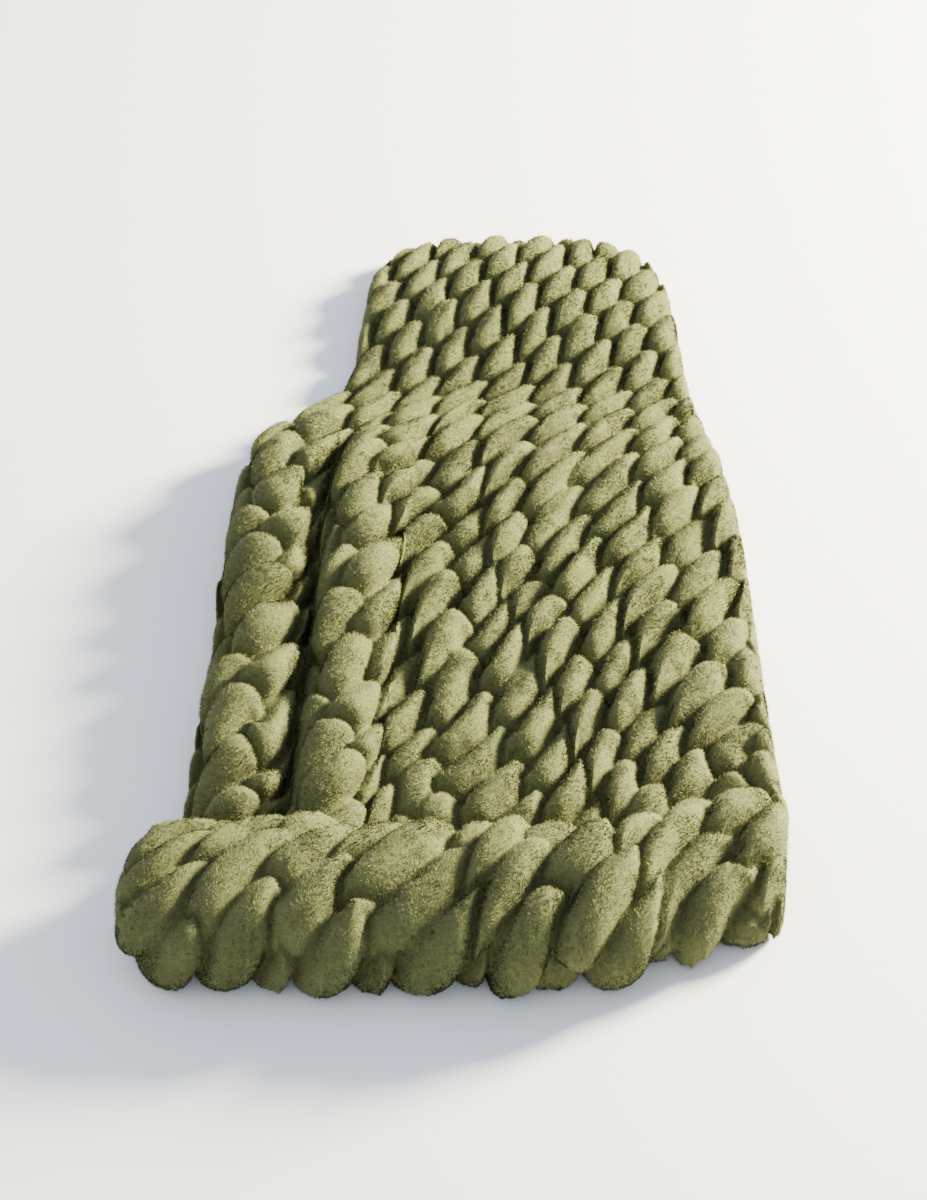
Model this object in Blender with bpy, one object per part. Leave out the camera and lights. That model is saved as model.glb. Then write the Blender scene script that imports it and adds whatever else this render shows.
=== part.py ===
"""A ruched plush blanket, laid out on a flat surface.

Lines of shirring stitches gather the cloth into columns of slanting, puffed rolls, and each column's rolls
lie between those of its neighbours. The far end lies narrow, the cloth widens to the near end, two
rope-like folds run along its left side, and the near end is turned under in a thick roll.
Metres, Z up, +Y to the far end.
"""

import bmesh
import bpy
import numpy as np
from mathutils import Vector
from mathutils.geometry import delaunay_2d_cdt

# The cloth, with x across it from the left hem and v along it from the far hem
WIDTH = 0.74
LENGTH = 1.42
HEM_THICKNESS = 0.006
HEM_ROUNDING = 0.024

# How the cloth lies: a row for each section along it. Left and right are the places of its two side
# hems, columns and slide say which columns of rolls cross the section, pitch is the spacing of the rolls
# along a column, puff is how far a roll stands above its creases, and then come the folds' heights.
SECTION_COLUMNS = (
    "along", "left", "right", "columns", "slide", "pitch", "puff", "outer_fold", "inner_fold", "swell",
)
SECTIONS = (
    (0.00, -0.110, 0.205, 6.2, 3.10, 0.044, 0.027, 0.000, 0.000, 0.000),
    (0.05, -0.134, 0.236, 6.7, 2.90, 0.044, 0.028, 0.000, 0.000, 0.018),
    (0.15, -0.146, 0.248, 7.0, 2.40, 0.044, 0.029, 0.000, 0.000, 0.030),
    (0.25, -0.156, 0.258, 7.3, 1.80, 0.044, 0.028, 0.000, 0.000, 0.012),
    (0.31, -0.186, 0.268, 7.9, 1.45, 0.043, 0.027, 0.000, 0.000, 0.002),
    (0.37, -0.250, 0.284, 9.2, 1.15, 0.044, 0.029, 0.008, 0.006, 0.020),
    (0.44, -0.292, 0.302, 10.4, 0.85, 0.047, 0.032, 0.032, 0.022, 0.026),
    (0.55, -0.304, 0.318, 11.0, 0.45, 0.053, 0.036, 0.050, 0.042, 0.008),
    (0.75, -0.314, 0.330, 11.0, -0.30, 0.056, 0.038, 0.052, 0.046, 0.000),
    (0.95, -0.330, 0.340, 11.0, -1.00, 0.056, 0.038, 0.050, 0.046, 0.000),
    (1.06, -0.345, 0.346, 10.0, -1.40, 0.055, 0.033, 0.034, 0.030, 0.000),
    (1.12, -0.375, 0.346, 8.6, -1.60, 0.053, 0.031, 0.006, 0.005, 0.000),
    (1.20, -0.400, 0.340, 7.8, -1.90, 0.054, 0.034, 0.000, 0.000, 0.000),
    (1.42, -0.395, 0.325, 7.6, -2.70, 0.054, 0.032, 0.000, 0.000, 0.000),
)
SECTION_SOFTNESS = 0.03

# The two folds along the left side, each with its middle and half width from the left hem. The cloth is
# pinched thinner in the valley between them, and its rolls lean out of the folds by a share of the slope.
# The stitch lines stay deep on folds as high as this, and to this far beside them.
OUTER_FOLD = (0.056, 0.056)
INNER_FOLD = (0.163, 0.051)
VALLEY_PINCH = 0.55
VALLEY_REACH = 0.038
FULL_FOLD = 0.05
FOLD_EDGE = 0.03
SIDEWAYS_LEAN = 0.4

# The far corners are rounded: how far they come forward, over which length
FAR_CORNER_ROUNDING = 0.035
FAR_CORNER_LENGTH = 0.15

# The near end: how steeply the cloth heads up (in degrees) at each distance past the start of the roll
ROLL_START = 1.03
ROLL_PATH = (
    (0.000, 0.0),
    (0.050, 62.0),
    (0.080, 62.0),
    (0.150, 4.0),
    (0.225, -24.0),
    (0.290, -180.0),
    (0.400, -180.0),
)

# The crease behind the roll: its middle and half width, and the share of the thickness that it takes
CREASE_MIDDLE = 0.035
CREASE_HALF_WIDTH = 0.055
CREASE_PINCH = 0.65

# The seams are filled out round the nose of the roll: by how much, about where and how far
NOSE_THICKENING = 0.004
NOSE = 0.25
NOSE_REACH = 0.09

# The roll's left end is drawn in towards its axis. Its right end lies further back and lower.
ROLL_AXIS_HEIGHT = 0.045
ROLL_AXIS_BEFORE_NOSE = 0.09
ROLL_RISE = (0.03, 0.08)
LEFT_END_TAPER_LENGTH = 0.09
LEFT_END_TAPER = 0.42
RIGHT_END_FROM = 0.72
RIGHT_END_WIDTH = 0.20
RIGHT_END_SETBACK = 0.070
RIGHT_END_LOWER = 0.35
SETBACK_FROM = 0.75
SETBACK_LENGTH = 0.35

# The rolls: each rises by this many rolls over one column. Towards the near end the right side's columns
# fan out, by this many columns in all.
SKEW = 1.3
FAN = 0.8
FAN_ACROSS = (0.40, 0.90)
FAN_ALONG = (0.35, 0.75)

# A roll's shape: the share of its height left in the creases, how narrow and how blunt its ends are, and how
# far it reaches between the rolls of the next columns, in columns
CREASE_DEPTH = 0.06
END_NARROWING = 0.16
END_FULLNESS = 3.0
INTERLOCK = 0.27

# The rolls lie evenly at the far end and unevenly from the widening on: in size, in the wander of stitch
# lines and creases (in columns and in rolls), in the hook of each column against the next, and in the
# places where rolls run together: a share of the creases, and stretches of the stitch lines, this many
# rolls long, where a noise of its own for each line is high
EVEN_END = 0.30
UNEVEN_FROM = 0.30
UNEVEN_LENGTH = 0.20
UNEVEN_BY = 0.60
WANDER_SPACING = 0.12
WANDER_SIDEWAYS = 0.30
WANDER_LENGTHWISE = 0.30
HOOK = 0.34
HOOK_SPACING = 0.18
MERGED_SHARE = 0.14
MERGED_DEPTH = 0.48
JOINED_SPACING = 0.8
JOINED_LINES_APART = 7.0
JOINED_FROM = 0.45
JOINED_SOFTNESS = 0.40
SIDEWAYS_SEED = 8
LENGTHWISE_SEED = 9
HOOK_SEED = 11
SIZE_SEED = 1
MERGED_SEED = 2
JOINED_SEED = 3

# The net over the rolls: where it samples each one, from side to side of its column and between its
# creases, how far past the hems it reaches before it is cut, and the steps in which the weave is worked out
ACROSS = (-1.0, -0.66, 0.0, 0.66)
ALONG = (-1.0, -0.5, 0.0, 0.5)
MARGIN = 0.022
HEM_LINES = (0.4 * HEM_ROUNDING, 0.0)
BEYOND = 0.30
INVERSE_STEPS = 30
SLOPE_STEP = 0.002
FOLD_TABLE_ROWS = 143
FOLD_TABLE_STEPS = 241
FOLD_TABLE_COLUMNS = 161
PATH_STEPS = 1421
PITCH_STEPS = 601

# The underside's net, closer under the folds and round the roll: start, end and pieces of each stretch
UNDERSIDE_ACROSS = ((0.0, 0.35, 18), (0.35, 0.56, 3), (0.56, 0.74, 5))
UNDERSIDE_ALONG = ((0.0, 1.02, 12), (1.02, 1.42, 18))
WELD = 0.0038

PLUSH = (0.300, 0.318, 0.150)
PLUSH_ROUGHNESS = 0.95


def clear_scene():
    for obj in list(bpy.data.objects):
        bpy.data.objects.remove(obj, do_unlink=True)


def plush_material():
    material = bpy.data.materials.new("plush")
    material.use_nodes = True
    shader = material.node_tree.nodes["Principled BSDF"]
    shader.inputs["Base Color"].default_value = (*PLUSH, 1.0)
    shader.inputs["Roughness"].default_value = PLUSH_ROUGHNESS
    shader.inputs["Metallic"].default_value = 0.0
    return material


def smooth_step(t):
    t = np.clip(t, 0.0, 1.0)
    return t * t * (3.0 - 2.0 * t)


def section(name, v):
    """One column of the table of sections, eased between its rows."""
    rows = np.array(SECTIONS)
    column = rows[:, SECTION_COLUMNS.index(name)]
    offsets = np.linspace(-SECTION_SOFTNESS, SECTION_SOFTNESS, 7)
    return sum(np.interp(v + offset, rows[:, 0], column) for offset in offsets) / len(offsets)


def folds(across, v):
    """Height of the two folds at a distance from the left hem."""
    height = np.zeros_like(across + v)
    for (middle, half_width), name in ((OUTER_FOLD, "outer_fold"), (INNER_FOLD, "inner_fold")):
        t = np.clip((across - middle) / half_width, -1.0, 1.0)
        height = height + section(name, v) * np.cos(0.5 * np.pi * t) ** 2
    return height


def fold_table():
    """Distances from the left hem at which evenly spaced points of the cloth lie, a row for each section."""
    lengthwise = np.linspace(0.0, LENGTH, FOLD_TABLE_ROWS)
    steps = np.linspace(0.0, 1.0, FOLD_TABLE_STEPS)
    shares = np.linspace(0.0, 1.0, FOLD_TABLE_COLUMNS)
    table = []
    for at in lengthwise:
        offset = steps * (section("right", at) - section("left", at))
        height = folds(offset, np.full_like(offset, at))
        run = np.concatenate(([0.0], np.cumsum(np.hypot(np.diff(offset), np.diff(height)))))
        table.append(np.interp(shares, run / run[-1], offset))
    return np.array(table)


FOLD_TABLE = fold_table()


def place_across(x, v):
    """Distance from the left hem at which the cloth's point x lies, spread evenly over the folds."""
    row = np.clip(v / LENGTH, 0.0, 1.0) * (FOLD_TABLE_ROWS - 1)
    col = np.clip(x / WIDTH, 0.0, 1.0) * (FOLD_TABLE_COLUMNS - 1)
    row_0 = np.minimum(row.astype(int), FOLD_TABLE_ROWS - 2)
    col_0 = np.minimum(col.astype(int), FOLD_TABLE_COLUMNS - 2)
    row_t = row - row_0
    col_t = col - col_0
    near = FOLD_TABLE[row_0, col_0] * (1.0 - col_t) + FOLD_TABLE[row_0, col_0 + 1] * col_t
    far = FOLD_TABLE[row_0 + 1, col_0] * (1.0 - col_t) + FOLD_TABLE[row_0 + 1, col_0 + 1] * col_t
    return near * (1.0 - row_t) + far * row_t


def run_along(v):
    """Forward reach and height of the cloth along its length, over the roll at its near end."""
    steps = np.linspace(0.0, LENGTH, PATH_STEPS)
    knots = np.array(ROLL_PATH)
    heading = np.radians(np.interp(steps - ROLL_START, knots[:, 0], knots[:, 1]))
    step = steps[1] - steps[0]
    reach = np.concatenate(([0.0], np.cumsum(np.cos(heading[:-1]) * step)))
    height = np.concatenate(([0.0], np.cumsum(np.sin(heading[:-1]) * step)))
    return np.interp(v, steps, reach), np.interp(v, steps, height), reach.max()


def lie(x, v):
    """Where the underside of the cloth's point (x, v) lies."""
    offset = place_across(x, v)
    reach, height, nose = run_along(v)
    in_roll = smooth_step((v - ROLL_START - ROLL_RISE[0]) / ROLL_RISE[1])
    drawn_in = 1.0 - in_roll * LEFT_END_TAPER * np.clip(1.0 - x / LEFT_END_TAPER_LENGTH, 0.0, 1.0) ** 2
    axis_reach = nose - ROLL_AXIS_BEFORE_NOSE
    reach = axis_reach + (reach - axis_reach) * drawn_in
    height = np.where(height > 0.0, ROLL_AXIS_HEIGHT + (height - ROLL_AXIS_HEIGHT) * drawn_in, 0.0)
    right_end = smooth_step((x / WIDTH - RIGHT_END_FROM) / RIGHT_END_WIDTH)
    reach = reach - RIGHT_END_SETBACK * right_end * smooth_step((v - SETBACK_FROM) / SETBACK_LENGTH)
    height = height * (1.0 - RIGHT_END_LOWER * right_end)
    corner = np.abs(2.0 * x / WIDTH - 1.0) ** 4
    reach = reach + FAR_CORNER_ROUNDING * corner * np.clip(1.0 - v / FAR_CORNER_LENGTH, 0.0, 1.0)

    swell = section("swell", v) * np.sin(np.pi * np.clip(x / WIDTH, 0.0, 1.0)) ** 0.7
    return np.stack(
        (
            section("left", v) + offset,
            -reach,
            np.maximum(height, 0.0) + folds(offset, v) + swell,
        ),
        axis=-1,
    )


def outward(x, v):
    """The direction that the rolls stand out in: off the cloth, but in the folds more upright."""
    across = lie(np.minimum(x + SLOPE_STEP, WIDTH), v) - lie(np.maximum(x - SLOPE_STEP, 0.0), v)
    along = lie(x, np.minimum(v + SLOPE_STEP, LENGTH)) - lie(x, np.maximum(v - SLOPE_STEP, 0.0))
    normal = np.cross(along, across)
    normal[..., 0] *= SIDEWAYS_LEAN
    return normal / np.linalg.norm(normal, axis=-1, keepdims=True)


def scatter(i, j, seed):
    """A number from 0 to 1 for each pair of whole numbers."""
    value = np.sin(i * 127.1 + j * 311.7 + seed * 74.7) * 43758.5453
    return value - np.floor(value)


def noise(x, v, spacing, seed):
    """Smooth unevenness from -1 to 1, with lumps this far apart."""
    i, j = np.floor(x / spacing), np.floor(v / spacing)
    along_x, along_v = smooth_step(x / spacing - i), smooth_step(v / spacing - j)
    near = scatter(i, j, seed) * (1.0 - along_x) + scatter(i + 1, j, seed) * along_x
    far = scatter(i, j + 1, seed) * (1.0 - along_x) + scatter(i + 1, j + 1, seed) * along_x
    return 2.0 * (near * (1.0 - along_v) + far * along_v) - 1.0


def unevenness(v):
    """The rolls lie evenly at the far end, and unevenly from the widening to the near end."""
    return EVEN_END + (1.0 - EVEN_END) * smooth_step((v - UNEVEN_FROM) / UNEVEN_LENGTH)


def wander(x, v):
    """How far the stitch lines and the creases wander, in columns and in rolls."""
    sideways = WANDER_SIDEWAYS * noise(x, v, WANDER_SPACING, SIDEWAYS_SEED)
    lengthwise = WANDER_LENGTHWISE * noise(x, v, WANDER_SPACING, LENGTHWISE_SEED)
    return unevenness(v) * sideways, unevenness(v) * lengthwise


def hook(column, v):
    """Each column's rolls sit a little before or after its neighbours', and bend at the stitch lines."""
    i, j = np.floor(column), np.floor(v / HOOK_SPACING)
    t = smooth_step(v / HOOK_SPACING - j)
    shift = 2.0 * (scatter(i, j, HOOK_SEED) * (1.0 - t) + scatter(i, j + 1, HOOK_SEED) * t) - 1.0
    return HOOK * unevenness(v) * shift * (1.0 - (2.0 * (column - i) - 1.0) ** 4)


def fan(x, v):
    """The columns on the right side spread towards the near end."""
    across = smooth_step((x / WIDTH - FAN_ACROSS[0]) / FAN_ACROSS[1])
    return FAN * across * smooth_step((v - FAN_ALONG[0]) / FAN_ALONG[1])


def rolls_before(v):
    steps = np.linspace(-BEYOND, LENGTH + BEYOND, PITCH_STEPS)
    count = np.concatenate(([0.0], np.cumsum(np.diff(steps) / section("pitch", steps[:-1]))))
    return np.interp(v, steps, count), steps, count


def weave_of(x, v):
    """Columns and rolls counted to the cloth's point (x, v)."""
    sideways, lengthwise = wander(x, v)
    level = section("slide", v) + (x / WIDTH - 0.5) * section("columns", v)
    column = level - fan(x, v) + sideways
    roll = rolls_before(v)[0] + SKEW * level + lengthwise + hook(column, v)
    return column, roll


def stagger(i):
    """Every second column's rolls sit half a roll on."""
    return 0.5 * np.mod(i, 2.0)


def within_roll(column, roll):
    """Which column and roll a place in the weave is in, and where in them, from -1 to 1."""
    line = np.round(column)
    line_at = line + 0.5 * INTERLOCK * np.cos(2.0 * np.pi * roll) * (1.0 - 2.0 * np.mod(line, 2.0))
    i = np.where(column < line_at, line - 1.0, line)
    j = np.floor(roll + stagger(i))
    c = 2.0 * (roll + stagger(i) - j) - 1.0
    a = 2.0 * (column - i - 0.5) / (1.0 + INTERLOCK * np.cos(np.pi * c))
    return i, j, np.clip(a, -1.0, 1.0), c


def cloth_point(column, roll):
    """The inverse of weave_of."""
    _, steps, count = rolls_before(0.0)
    x = np.full_like(column, 0.5 * WIDTH)
    v = np.full_like(column, 0.5 * LENGTH)
    for _ in range(INVERSE_STEPS):
        sideways, lengthwise = wander(x, v)
        level = column + fan(x, v) - sideways
        v_next = np.interp(roll - SKEW * level - lengthwise - hook(column, v), count, steps)
        x_next = WIDTH * (0.5 + (level - section("slide", v_next)) / section("columns", v_next))
        x = 0.5 * (x + np.clip(x_next, -BEYOND, WIDTH + BEYOND))
        v = 0.5 * (v + v_next)
    return x, v


def thickness(x, v):
    """How thick the cloth stands at its point (x, v)."""
    column, roll = weave_of(x, v)
    i, j, a, c = within_roll(column, roll)
    end = np.sqrt(np.clip(1.0 - np.abs(a) ** END_FULLNESS, 0.0, 1.0))
    narrowed = c / (1.0 - END_NARROWING * (1.0 - end))
    side = np.sqrt(np.clip(1.0 - narrowed * narrowed, 0.0, 1.0))
    uneven = unevenness(v)
    from_left = place_across(x, v)
    folded = section("outer_fold", v) / FULL_FOLD

    # Creases are deepest at the stitch lines, and here and there two neighbouring rolls run together,
    # but not over a stitch line on the folds.
    crease = CREASE_DEPTH * end
    size = 1.0 + UNEVEN_BY * uneven * (scatter(i, j, SIZE_SEED) - 0.5)
    merged = scatter(i, j + np.round(0.5 * (c + 1.0)), MERGED_SEED) < MERGED_SHARE * uneven
    line = i + np.round(0.5 * (a + 1.0))
    along_line = noise(JOINED_LINES_APART * line, roll, JOINED_SPACING, JOINED_SEED)
    joined = smooth_step((along_line - JOINED_FROM) / JOINED_SOFTNESS)
    height = crease + (1.0 - crease) * size * side * end
    height = height + MERGED_DEPTH * merged * np.abs(c) ** 3 * end
    on_folds = folded * smooth_step((sum(INNER_FOLD) - from_left) / FOLD_EDGE + 1.0)
    height = height + MERGED_DEPTH * joined * uneven * (1.0 - on_folds) * np.abs(a) ** 5

    from_hem = np.minimum(np.minimum(x, WIDTH - x), np.minimum(v, LENGTH - v))
    near = 1.0 - np.clip(from_hem / HEM_ROUNDING, 0.0, 1.0)
    rounding = np.sqrt(1.0 - near * near)
    from_crease = np.abs(v - ROLL_START - CREASE_MIDDLE)
    at_crease = CREASE_PINCH * np.clip(1.0 - from_crease / CREASE_HALF_WIDTH, 0.0, 1.0)
    from_valley = np.abs(from_left - sum(OUTER_FOLD))
    in_valley = VALLEY_PINCH * folded * np.clip(1.0 - from_valley / VALLEY_REACH, 0.0, 1.0)
    puff = section("puff", v) * height * (1.0 - at_crease) * (1.0 - in_valley)
    puff = puff + NOSE_THICKENING * smooth_step(1.0 - np.abs(v - ROLL_START - NOSE) / NOSE_REACH)
    return HEM_THICKNESS + puff * rounding


def upper_side(x, v):
    """The puffed face, pressed flat where the turned-under end lies on the surface."""
    points = lie(x, v) + outward(x, v) * thickness(x, v)[..., None]
    points[..., 2] = np.maximum(points[..., 2], 0.0)
    return points


def cloth_net():
    """The cloth laid flat as a net whose lines follow the stitch lines and creases, cut at its hems."""
    corners_x, corners_v = np.meshgrid((0.0, 0.5 * WIDTH, WIDTH), np.linspace(0.0, LENGTH, 60))
    column, roll = weave_of(corners_x, corners_v)
    first_column, last_column = int(np.floor(column.min())) - 1, int(np.ceil(column.max())) + 1
    first_roll, last_roll = int(np.floor(roll.min())) - 1, int(np.ceil(roll.max())) + 1
    columns = [i + 0.5 * (1.0 + a) for i in range(first_column, last_column) for a in ACROSS]
    rolls = [j + 0.5 * (1.0 + c) for j in range(first_roll, last_roll) for c in ALONG]
    grid_column, grid_roll = np.meshgrid(columns, rolls, indexing="ij")
    i = np.floor(grid_column)
    widened = 1.0 - INTERLOCK * np.cos(2.0 * np.pi * (grid_roll + stagger(i)))
    x, v = cloth_point(i + 0.5 + (grid_column - i - 0.5) * widened, grid_roll)
    inside = (x > -MARGIN) & (x < WIDTH + MARGIN) & (v > -MARGIN) & (v < LENGTH + MARGIN)

    net = bmesh.new()
    corner = {}
    for i in range(len(columns) - 1):
        for j in range(len(rolls) - 1):
            around = ((i, j), (i + 1, j), (i + 1, j + 1), (i, j + 1))
            if not all(inside[k] for k in around):
                continue
            for k in around:
                if k not in corner:
                    corner[k] = net.verts.new((x[k], v[k], 0.0))
            net.faces.new([corner[k] for k in around])
    hems = (
        ((0.0, 0.0, 0.0), (-1.0, 0.0, 0.0)),
        ((WIDTH, 0.0, 0.0), (1.0, 0.0, 0.0)),
        ((0.0, 0.0, 0.0), (0.0, -1.0, 0.0)),
        ((0.0, LENGTH, 0.0), (0.0, 1.0, 0.0)),
    )
    for inset in HEM_LINES:
        for place, direction in hems:
            direction = Vector(direction)
            bmesh.ops.bisect_plane(
                net,
                geom=[*net.verts, *net.edges, *net.faces],
                dist=1e-5,
                plane_co=Vector(place) - direction * inset,
                plane_no=direction,
                clear_outer=inset == 0.0,
            )
    bmesh.ops.remove_doubles(net, verts=list(net.verts), dist=WELD)
    bmesh.ops.triangulate(net, faces=list(net.faces))
    return net


def hem_loop(net):
    """Indices of the net's outer points, in order."""
    following = {}
    for edge in net.edges:
        if edge.is_boundary:
            first = edge.link_loops[0].vert
            following[first.index] = edge.other_vert(first).index
    loop = [min(following)]
    while following[loop[-1]] != loop[0]:
        loop.append(following[loop[-1]])
    return loop


def spaced(stretches):
    """The middles of the pieces that the stretches are divided into."""
    middles = []
    for start, end, count in stretches:
        middles += [start + (end - start) * (k + 0.5) / count for k in range(count)]
    return middles


def underside_net(outline):
    """Triangles of the smoother underside, with the outline's points first."""
    across = spaced(UNDERSIDE_ACROSS)
    along = spaced(UNDERSIDE_ALONG)
    inner = [(x, v) for x in across for v in along]
    count = len(outline)
    points = [Vector(point) for point in [*outline, *inner]]
    ring = [(k, (k + 1) % count) for k in range(count)]
    found = delaunay_2d_cdt(points, ring, [], 1, 1e-6)
    places, faces, originals = found[0], found[2], found[3]
    at = [min(original) if original else None for original in originals]
    return places, faces, at


def blanket_mesh():
    net = cloth_net()
    net.verts.index_update()
    flat = np.array([vert.co[:2] for vert in net.verts])
    upper_faces = [[vert.index for vert in face.verts] for face in net.faces]
    loop = hem_loop(net)
    net.free()

    places, lower_faces, at = underside_net([tuple(flat[k]) for k in loop])
    lower = np.array([tuple(place) for place in places])
    rim_of = {first: k for k, first in enumerate(at) if first is not None and first < len(loop)}
    points = np.concatenate((upper_side(flat[:, 0], flat[:, 1]), lie(lower[:, 0], lower[:, 1])))
    base = len(flat)
    faces = [face[::-1] for face in upper_faces]
    faces += [[base + k for k in face] for face in lower_faces]
    for k, here in enumerate(loop):
        following = (k + 1) % len(loop)
        low_here, low_next = base + rim_of[k], base + rim_of[following]
        faces.append([here, loop[following], low_next, low_here])

    body = bmesh.new()
    verts = [body.verts.new(point) for point in points]
    for face in faces:
        body.faces.new([verts[k] for k in face])
    bmesh.ops.triangulate(body, faces=list(body.faces))
    bmesh.ops.recalc_face_normals(body, faces=list(body.faces))
    low = np.array([vert.co for vert in body.verts]).min(axis=0)
    high = np.array([vert.co for vert in body.verts]).max(axis=0)
    to_centre = Vector((-0.5 * (low[0] + high[0]), -0.5 * (low[1] + high[1]), -low[2]))
    bmesh.ops.translate(body, verts=list(body.verts), vec=to_centre)
    mesh = bpy.data.meshes.new("blanket")
    body.to_mesh(mesh)
    body.free()
    return mesh


def build_blanket():
    blanket = bpy.data.objects.new("blanket", blanket_mesh())
    blanket.data.materials.append(plush_material())
    for face in blanket.data.polygons:
        face.use_smooth = True
    bpy.context.scene.collection.objects.link(blanket)
    return blanket


clear_scene()
build_blanket()
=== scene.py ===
"""Looks of the ruched plush blanket.

The cloth, with its puffed rolls, is one finely sampled sheet on the solid's own folds. Its short pile is
tufts that lean over on the puffed face and the hems, joined in a few pieces.
Metres, Z up, +Y to the far end.
"""

import math

import bmesh
import bpy
import numpy as np
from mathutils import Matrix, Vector
from mathutils.geometry import delaunay_2d_cdt


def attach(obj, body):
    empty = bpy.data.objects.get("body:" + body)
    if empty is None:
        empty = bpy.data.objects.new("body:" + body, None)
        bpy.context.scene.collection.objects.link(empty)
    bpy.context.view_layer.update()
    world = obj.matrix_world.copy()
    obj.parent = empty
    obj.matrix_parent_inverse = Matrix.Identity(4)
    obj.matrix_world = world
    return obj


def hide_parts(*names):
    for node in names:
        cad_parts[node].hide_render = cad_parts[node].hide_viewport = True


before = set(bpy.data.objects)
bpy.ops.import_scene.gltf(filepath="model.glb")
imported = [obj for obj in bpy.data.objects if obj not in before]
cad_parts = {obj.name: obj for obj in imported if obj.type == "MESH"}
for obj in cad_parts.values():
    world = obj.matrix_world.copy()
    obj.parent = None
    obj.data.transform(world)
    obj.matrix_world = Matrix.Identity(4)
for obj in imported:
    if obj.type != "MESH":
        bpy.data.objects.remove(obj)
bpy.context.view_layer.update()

# The cloth, with x across it from the left hem and v along it from the far hem, as in the part's source
WIDTH = 0.74
LENGTH = 1.42
HEM_THICKNESS = 0.006
HEM_ROUNDING = 0.024

# How far the cloth is moved, so that the solid's box is centred on the origin
TO_CENTRE = (0.02720, 0.63912, 0.0)

# How the cloth lies: a row for each section along it. Left and right are the places of its two side
# hems, columns and slide say which columns of rolls cross the section, pitch is the spacing of the rolls
# along a column, puff is how far a roll stands above its creases, and then come the folds' heights.
SECTION_COLUMNS = (
    "along", "left", "right", "columns", "slide", "pitch", "puff", "outer_fold", "inner_fold", "swell",
)
SECTIONS = (
    (0.00, -0.110, 0.205, 6.2, 3.10, 0.044, 0.027, 0.000, 0.000, 0.000),
    (0.05, -0.134, 0.236, 6.7, 2.90, 0.044, 0.028, 0.000, 0.000, 0.018),
    (0.15, -0.146, 0.248, 7.0, 2.40, 0.044, 0.029, 0.000, 0.000, 0.030),
    (0.25, -0.156, 0.258, 7.3, 1.80, 0.044, 0.028, 0.000, 0.000, 0.012),
    (0.31, -0.186, 0.268, 7.9, 1.45, 0.043, 0.027, 0.000, 0.000, 0.002),
    (0.37, -0.250, 0.284, 9.2, 1.15, 0.044, 0.029, 0.008, 0.006, 0.020),
    (0.44, -0.292, 0.302, 10.4, 0.85, 0.047, 0.032, 0.032, 0.022, 0.026),
    (0.55, -0.304, 0.318, 11.0, 0.45, 0.053, 0.036, 0.050, 0.042, 0.008),
    (0.75, -0.314, 0.330, 11.0, -0.30, 0.056, 0.038, 0.052, 0.046, 0.000),
    (0.95, -0.330, 0.340, 11.0, -1.00, 0.056, 0.038, 0.050, 0.046, 0.000),
    (1.06, -0.345, 0.346, 10.0, -1.40, 0.055, 0.033, 0.034, 0.030, 0.000),
    (1.12, -0.375, 0.346, 8.6, -1.60, 0.053, 0.031, 0.006, 0.005, 0.000),
    (1.20, -0.400, 0.340, 7.8, -1.90, 0.054, 0.034, 0.000, 0.000, 0.000),
    (1.42, -0.395, 0.325, 7.6, -2.70, 0.054, 0.032, 0.000, 0.000, 0.000),
)
SECTION_SOFTNESS = 0.03
SECTION_STEPS = 7
SWELL_FULLNESS = 0.7

# The two folds along the left side, each with its middle and half width from the left hem. The cloth is
# pinched thinner in the valley between them, and its rolls lean out of the folds by a share of the slope.
# The stitch lines stay deep on folds as high as this, and to this far beside them.
OUTER_FOLD = (0.056, 0.056)
INNER_FOLD = (0.163, 0.051)
VALLEY_PINCH = 0.55
VALLEY_REACH = 0.038
FULL_FOLD = 0.05
FOLD_EDGE = 0.03
SIDEWAYS_LEAN = 0.4

# The far corners are rounded: how far they come forward, over which length, and how sharply
FAR_CORNER_ROUNDING = 0.035
FAR_CORNER_LENGTH = 0.15
FAR_CORNER_POWER = 4

# The near end: how steeply the cloth heads up (in degrees) at each distance past the start of the roll
ROLL_START = 1.03
ROLL_PATH = (
    (0.000, 0.0),
    (0.050, 62.0),
    (0.080, 62.0),
    (0.150, 4.0),
    (0.225, -24.0),
    (0.290, -180.0),
    (0.400, -180.0),
)

# The crease behind the roll: its middle and half width, and the share of the thickness that it takes
CREASE_MIDDLE = 0.035
CREASE_HALF_WIDTH = 0.055
CREASE_PINCH = 0.65

# The seams are filled out round the nose of the roll: by how much, about where and how far
NOSE_THICKENING = 0.004
NOSE = 0.25
NOSE_REACH = 0.09

# The roll's left end is drawn in towards its axis. Its right end lies further back and lower.
ROLL_AXIS_HEIGHT = 0.045
ROLL_AXIS_BEFORE_NOSE = 0.09
ROLL_RISE = (0.03, 0.08)
LEFT_END_TAPER_LENGTH = 0.09
LEFT_END_TAPER = 0.42
RIGHT_END_FROM = 0.72
RIGHT_END_WIDTH = 0.20
RIGHT_END_SETBACK = 0.070
RIGHT_END_LOWER = 0.35
SETBACK_FROM = 0.75
SETBACK_LENGTH = 0.35

# The rolls: each rises by this many rolls over one column. Towards the near end the right side's columns
# fan out, by this many columns in all.
SKEW = 1.3
FAN = 0.8
FAN_ACROSS = (0.40, 0.90)
FAN_ALONG = (0.35, 0.75)

# A roll's shape: the share of its height left in the creases, how narrow and how blunt its ends are, and
# how far it reaches between the rolls of the next columns, in columns
CREASE_DEPTH = 0.06
END_NARROWING = 0.16
END_FULLNESS = 3.0
INTERLOCK = 0.27

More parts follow.
